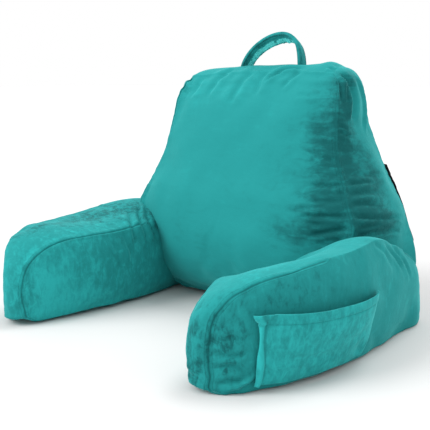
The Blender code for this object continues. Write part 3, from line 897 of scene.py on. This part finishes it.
def sheet_of_cloth(name, steps, place_on):
    """A sheet from a grid: place_on(u, v) gives each point, u along its foot and v up it."""
    made, flat = flat_grid(name, *steps)
    set_points(made.data, np.array([place_on(u, v) for u, v in flat]))
    store(made.data, "across", flat[:, 0])
    store(made.data, "height", flat[:, 1])
    solid = made.modifiers.new("cloth", "SOLIDIFY")
    solid.thickness = SHEET_THICK
    solid.offset = 1.0
    solid.use_even_offset = True
    apply_modifiers(made)
    return made


def proud(surface, start, axis):
    """How far the cloth under a pocket stands out near a point, looking back from outside."""
    way = Vector((0.0, 0.0, 0.0))
    way[axis] = -1.0
    aside = Vector((0.0, 0.0, 0.0))
    aside[1 - axis] = PROBE
    above = Vector((0.0, 0.0, PROBE))
    found = []
    for step in (Vector(), aside, -aside, above, -above):
        hit = surface.ray_cast(start + step, way)[0]
        if hit is not None:
            found.append(hit[axis])
    return max(found)


def slack(u, v, gape):
    """How far a pocket stands off: most at its mouth, nothing at its sides and foot."""
    across = max(0.0, 1 - (2 * u - 1) ** 4)
    return gape * across * fade(v * 1.15) ** 1.3


def hem(v, stitches_at):
    """A hem a little proud of the cloth, with its stitches drawn in along its lower edge."""
    return HEM_RISE * (fade((v - stitches_at - 0.005) / 0.02) - 0.9 * bell(v, stitches_at, 0.012))


def pocket_ridge_at(v):
    """How far along the side pocket the ridge at its front edge stands, at a height."""
    return 0.012 + 0.008 * np.sin(7 * v)


def make_side_pocket(arm):
    """The pocket on the right arm, its front edge sewn down in a ridge."""
    surface = BVHTree.FromObject(arm, bpy.context.evaluated_depsgraph_get())

    def place_on(u, v):
        y = POCKET_FRONT_Y + (POCKET_REAR_Y - POCKET_FRONT_Y) * u
        y += POCKET_FOOT_SHIFT * (1 - v) * u
        mouth = POCKET_MOUTH_Z + (POCKET_MOUTH_REAR_Z - POCKET_MOUTH_Z) * u
        mouth -= 0.003 * math.sin(math.pi * u)
        z = POCKET_FOOT_Z + (mouth - POCKET_FOOT_Z) * v
        x = proud(surface, Vector((1.0, y, z)), 0)
        flap = fade((v - 0.84) / 0.16)
        y -= POCKET_FLAP * flap * (1 - fade(u / 0.10))
        tuck = POCKET_RIDGE * bell(u, pocket_ridge_at(v), 0.014) * (1 - 0.5 * flap)
        tuck -= 0.0014 * bell(u, 0.060, 0.025)
        tuck += 0.0030 * fade((0.42 * (v - 0.82) - abs(u - 0.010)) / 0.020)
        wrinkle = 0.0012 * math.sin(9 * u + 26 * v) * bell(v, 0.35, 0.18) * bell(u, 0.3, 0.22)
        wrinkle += 0.0008 * math.sin(17 * v - 11 * u) * bell(u, 0.80, 0.12) * bell(v, 0.5, 0.3)
        off = SHEET_OFF + slack(u, v, POCKET_GAPE) + hem(v, POCKET_HEM_AT)
        return (x + off + tuck + wrinkle, y, z)

    made = sheet_of_cloth("side_pocket_cloth", POCKET_GRID, place_on)
    u, v = stored(made.data, "across"), stored(made.data, "height")
    ridge = pocket_ridge_at(v)
    # Painted shadow in a line beside the ridge, and the hem's stitch line.
    beside = bell(u, ridge + 0.022, 0.010)
    stitches = bell(v, POCKET_HEM_AT, 0.010)
    store(made.data, "darkening", np.clip(0.9 * beside + 0.4 * stitches, 0, 1))
    # A painted highlight along the ridge's crest.
    store(made.data, "painted_highlight", 0.35 * bell(u, ridge, 0.008))
    return made


def make_back_pocket(backrest):
    """The pocket right across the back panel."""
    surface = BVHTree.FromObject(backrest, bpy.context.evaluated_depsgraph_get())

    def place_on(u, v):
        z = BACK_POCKET_FOOT_Z + (BACK_POCKET_MOUTH_Z - BACK_POCKET_FOOT_Z) * v
        half = float(table_at(LEVELS, 3, z)) - BACK_POCKET_INSET
        x = half * (1 - 2 * u)
        y = proud(surface, Vector((x, 1.0, z)), 1)
        edge = BACK_POCKET_EDGE * bell(abs(2 * u - 1), 1.0, 0.05)
        sag = 0.0016 * math.sin(21 * u) * math.sin(3 * v) * fade(v) * fade(u * 8) * fade(8 - u * 8)
        off = SHEET_OFF + slack(u, v, BACK_POCKET_GAPE) + hem(v, BACK_POCKET_HEM_AT)
        return (x, y + off + edge + sag, z)

    return sheet_of_cloth("back_pocket_cloth", BACK_POCKET_GRID, place_on)


class Wired:
    """A socket that takes arithmetic, so that shader sums read as sums."""

    def __init__(self, cloth, socket):
        self.cloth = cloth
        self.socket = socket

    def _math(self, operation, other):
        return self.cloth.node("ShaderNodeMath", {"operation": operation}, [self, other])

    def __add__(self, other):
        return self._math("ADD", other)

    __radd__ = __add__

    def __sub__(self, other):
        return self._math("SUBTRACT", other)

    def __rsub__(self, other):
        return self.cloth.node("ShaderNodeMath", {"operation": "SUBTRACT"}, [other, self])

    def __mul__(self, other):
        return self._math("MULTIPLY", other)

    __rmul__ = __mul__

    def clamp(self):
        return self.cloth.node("ShaderNodeClamp", {}, {"Value": self}, "Result")


class Cloth:
    """A material for one of the pillow's cloths."""

    def __init__(self, name, roughness, sheen, sheen_colour, sheen_roughness=0.35):
        self.material = bpy.data.materials.new(name)
        self.material.use_nodes = True
        self.tree = self.material.node_tree
        self.shader = self.tree.nodes["Principled BSDF"]
        self.shader.inputs["Roughness"].default_value = roughness
        self.shader.inputs["Sheen Weight"].default_value = sheen
        self.shader.inputs["Sheen Roughness"].default_value = sheen_roughness
        self.shader.inputs["Sheen Tint"].default_value = (*sheen_colour, 1)
        self.shader.inputs["Specular IOR Level"].default_value = 0.08
        self.place = self.node("ShaderNodeTexCoord", {}, {}, "Object")

    def put(self, target, value):
        if isinstance(value, Wired):
            self.tree.links.new(value.socket, target)
        elif isinstance(value, tuple) and target.type == "RGBA" and len(value) == 3:
            target.default_value = (*value, 1)
        else:
            target.default_value = value

    def node(self, kind, settings, values, output=0):
        made = self.tree.nodes.new(kind)
        for key, value in settings.items():
            setattr(made, key, value)
        pairs = enumerate(values) if isinstance(values, list) else values.items()
        for key, value in pairs:
            self.put(made.inputs[key], value)
        return Wired(self, made.outputs[output])

    def noise(self, scale, detail, roughness, at=None, distortion=0.0):
        values = {
            "Vector": at or self.place,
            "Scale": scale,
            "Detail": detail,
            "Roughness": roughness,
            "Distortion": distortion,
        }
        return self.node("ShaderNodeTexNoise", {}, values, "Fac")

    def uneven(self, scale, detail, roughness, at=None):
        """Bent noise about 0."""
        return self.noise(scale, detail, roughness, at, distortion=0.6) - 0.5

    def stretched(self, scale):
        return self.node("ShaderNodeMapping", {}, {"Vector": self.place, "Scale": scale})

    def ramp(self, factor, low, high):
        values = {"Value": factor, "From Min": low, "From Max": high}
        return self.node("ShaderNodeMapRange", {"interpolation_type": "SMOOTHSTEP"}, values, "Result")

    def band(self, value, place, width):
        """1 where a value is at a place, fading to 0 a width away."""
        off = self.node("ShaderNodeMath", {"operation": "ABSOLUTE"}, [value - place])
        return self.ramp(off, width, 0.0)

    def blend(self, factor, first, second):
        """A Mix node's colour sockets, which share their names with its others, by number."""
        made = self.tree.nodes.new("ShaderNodeMix")
        made.data_type = "RGBA"
        self.put(made.inputs["Factor"], factor)
        self.put(made.inputs[6], first)
        self.put(made.inputs[7], second)
        return Wired(self, made.outputs[2])

    def attribute(self, name):
        return self.node("ShaderNodeAttribute", {"attribute_name": name}, {}, "Fac")

    def bump(self, height, strength, distance, under=None):
        values = {"Height": height, "Strength": strength, "Distance": distance}
        if under is not None:
            values["Normal"] = under
        return self.node("ShaderNodeBump", {}, values, "Normal")

    def finish(self, colour, roughness, normal):
        self.put(self.shader.inputs["Base Color"], colour)
        self.put(self.shader.inputs["Roughness"], roughness)
        self.put(self.shader.inputs["Normal"], normal)
        return self.material


def velour(name, deep, middle, bright):
    """Crushed pile: the placed brushing together with painted light and shade, mottling that is
    strongest where the pile is crushed, with streaks down an upright cloth and across the backrest, a
    fine nap, painted shade in the seams' crease and a row of topstitching beside them. Painted
    highlights are light, and stitch lines, a painted shadow and the strap's outer band dark."""
    cloth = Cloth(name, roughness=0.8, sheen=0.42, sheen_colour=(0.20, 0.95, 0.95))
    pile_and_painted_light = cloth.attribute("pile_and_painted_light")
    crushed = cloth.attribute("crushed")
    upright = cloth.attribute("upright")
    cloudy = cloth.uneven(7.0, 4.0, 0.6)
    streaks = cloth.uneven(1.0, 4.0, 0.65, at=cloth.stretched(STREAKS_DOWN)) * upright
    level = cloth.uneven(1.0, 4.0, 0.60, at=cloth.stretched(STREAKS_ACROSS)) * (1 - upright)
    patches = cloth.uneven(50.0, 5.0, 0.65) * (0.45 + 0.75 * upright)
    mottled = (1.3 * streaks + 0.6 * level + patches) * (0.48 + 0.70 * crushed)
    # The pile's brushing with painted light and shade, cloudiness and mottling.
    light = 0.5 + 0.45 * pile_and_painted_light + 0.4 * cloudy + mottled
    # Painted highlights lighten the cloth; stitch lines, a painted shadow and the strap's outer band
    # darken it.
    light = light + 0.75 * cloth.attribute("painted_highlight") - 0.45 * cloth.attribute("darkening")
    light = light.clamp()
    colour = cloth.blend(cloth.ramp(light, 0.0, 0.5), deep, middle)
    colour = cloth.blend(cloth.ramp(light, 0.5, 1.0), colour, bright)
    # Topstitching thread beside the seams, and painted shade in the seams' crease.
    seam = cloth.attribute("seam")
    stitches = cloth.band(seam, STITCHES_AT, 0.018)
    seam_shade = cloth.band(seam, 0.0, 0.045)
    colour = cloth.blend((0.12 * stitches + 0.60 * seam_shade).clamp(), colour, deep)
    nap = cloth.noise(900.0, 2.0, 0.6)
    crush = cloth.noise(110.0, 4.0, 0.65, distortion=0.5)
    sewn = cloth.band(seam, STITCHES_AT, 0.022)
    normal = cloth.bump(crush * (0.35 + 0.9 * crushed), strength=0.45, distance=0.0024)
    normal = cloth.bump(1 - sewn, strength=0.6, distance=0.0010, under=normal)
    normal = cloth.bump(nap, strength=0.3, distance=0.0004, under=normal)
    return cloth.finish(colour, 0.9 - 0.18 * light, normal)


def dress(thing, material, pile_and_painted_light=0.0):
    """Gives a piece its cloth and its body, and an even value for each of the velour's
    marks that the piece doesn't carry itself."""
    thing.data.materials.clear()
    thing.data.materials.append(material)
    choose(thing)
    bpy.ops.object.shade_smooth()
    marks = {"seam": 1.0, "pile_and_painted_light": pile_and_painted_light, "crushed": CRUSH_ELSEWHERE, "upright": 1.0}
    for mark, value in marks.items():
        if mark not in thing.data.attributes:
            store(thing.data, mark, np.full(len(thing.data.vertices), value))
    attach(thing, "root")


def woven(name, colour, lighter):
    """Plain matt woven cloth."""
    grey = (0.6, 0.6, 0.6)
    cloth = Cloth(name, roughness=0.85, sheen=0.2, sheen_colour=grey, sheen_roughness=0.5)
    wear = cloth.noise(25.0, 4.0, 0.6)
    shade = cloth.blend(cloth.ramp(wear, 0.35, 0.7), colour, lighter)
    threads = cloth.noise(1400.0, 2.0, 0.5)
    folds = cloth.noise(45.0, 3.0, 0.5)
    normal = cloth.bump(folds, strength=0.3, distance=0.002)
    normal = cloth.bump(threads, strength=0.4, distance=0.0003, under=normal)
    return cloth.finish(shade, 0.9 - 0.1 * wear, normal)


def set_camera():
    turn, down = math.radians(CAMERA_AZIMUTH), math.radians(CAMERA_DOWN)
    level = math.cos(down)
    look = Vector((-math.sin(turn) * level, math.cos(turn) * level, -math.sin(down)))
    data = bpy.data.cameras.new("photo_camera")
    data.lens = LENS
    data.sensor_width = SENSOR
    data.clip_start = 0.05
    camera = bpy.data.objects.new("photo_camera", data)
    bpy.context.scene.collection.objects.link(camera)
    camera.location = CAMERA_AT
    camera.rotation_euler = look.to_track_quat("-Z", "Y").to_euler()
    bpy.context.scene.camera = camera


def set_sun(name, at, strength, spread):
    """Even light from one side, soft by its spread in degrees."""
    data = bpy.data.lights.new(name, "SUN")
    data.energy = strength
    data.angle = math.radians(spread)
    light = bpy.data.objects.new(name, data)
    bpy.context.scene.collection.objects.link(light)
    light.location = at
    light.rotation_euler = (-Vector(at)).to_track_quat("-Z", "Y").to_euler()


def set_stage():
    """A white floor, a white studio and two soft suns."""
    deselect_all()
    bpy.ops.mesh.primitive_plane_add(size=60.0, location=(0, 0, 0))
    floor = bpy.context.object
    floor.name = "floor"
    paper = bpy.data.materials.new("white_paper")
    paper.use_nodes = True
    shader = paper.node_tree.nodes["Principled BSDF"]
    shader.inputs["Base Color"].default_value = (0.66, 0.66, 0.66, 1)
    shader.inputs["Roughness"].default_value = 0.9
    shader.inputs["Specular IOR Level"].default_value = 0.0
    floor.data.materials.append(paper)
    world = bpy.data.worlds.new("studio")
    world.use_nodes = True
    sky = world.node_tree.nodes["Background"]
    sky.inputs["Color"].default_value = (1, 1, 1, 1)
    sky.inputs["Strength"].default_value = 1.0
    bpy.context.scene.world = world
    set_sun("key", (-1.3, -2.2, 1.9), strength=2.1, spread=35)
    set_sun("top", (0.1, 0.65, 1.6), strength=1.0, spread=25)
    bpy.context.scene.view_settings.view_transform = "Standard"


set_camera()
set_stage()

TEAL = velour(
    "teal_velour",
    deep=(0.006, 0.098, 0.100),
    middle=(0.014, 0.242, 0.242),
    bright=(0.024, 0.395, 0.395),
)
# The strap's velour, its bright tone raised for the painted highlights on the lining.
STRAP_TEAL_HIGHLIGHTED = velour(
    "teal_strap_velour_highlighted",
    deep=(0.010, 0.130, 0.130),
    middle=(0.018, 0.270, 0.270),
    bright=(0.140, 0.780, 0.760),
)
BLACK = woven("black_pocket_cloth", colour=(0.008, 0.009, 0.010), lighter=(0.016, 0.018, 0.020))

backrest = make_backrest()
lumps(backrest, seed=11, amount=0.0012, size=0.11)
gather(backrest, seed=5, pitch=0.015, zone=backrest_eased, length=0.026, depth=0.0022)
crease(backrest, BACKREST_FOLDS)
seam_crease(backrest, backrest_seam_hidden)
settle(backrest, BACKREST_LIFTS)
rest_on_floor(backrest)
brush_and_paint_light(backrest, BACKREST_PILE_AND_LIGHT)
store(backrest.data, "upright", np.zeros(len(backrest.data.vertices)))

arms = []
for name, side, folds, strokes, lifts in (
    ("arm_right_cushion", 1, ARM_RIGHT_FOLDS, ARM_RIGHT_PILE_AND_LIGHT, ARM_RIGHT_LIFTS),
    ("arm_left_cushion", -1, ARM_LEFT_FOLDS, ARM_LEFT_PILE_AND_LIGHT, ARM_LEFT_LIFTS),
):
    arm = make_arm(name, side)
    lumps(arm, seed=20 + side, amount=0.0010, size=0.09)
    gather(arm, seed=30 + side, pitch=0.016, zone=lambda _: 0.35, length=0.020, depth=0.0014)
    crease(arm, folds)
    seam_crease(arm, arm_seam_hidden)
    settle(arm, lifts)
    rest_on_floor(arm)
    brush_and_paint_light(arm, strokes)
    arms.append(arm)
handle = make_handle()
side_pocket = make_side_pocket(arms[0])
back_pocket = make_back_pocket(backrest)

dress(backrest, TEAL)
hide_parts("backrest")
for arm, node in zip(arms, ("arm_right", "arm_left")):
    dress(arm, TEAL)
    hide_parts(node)
dress(handle, STRAP_TEAL_HIGHLIGHTED)
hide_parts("handle")
# Painted light over the whole side pocket.
dress(side_pocket, TEAL, pile_and_painted_light=0.48)
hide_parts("side_pocket")
dress(back_pocket, BLACK)
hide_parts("back_pocket")
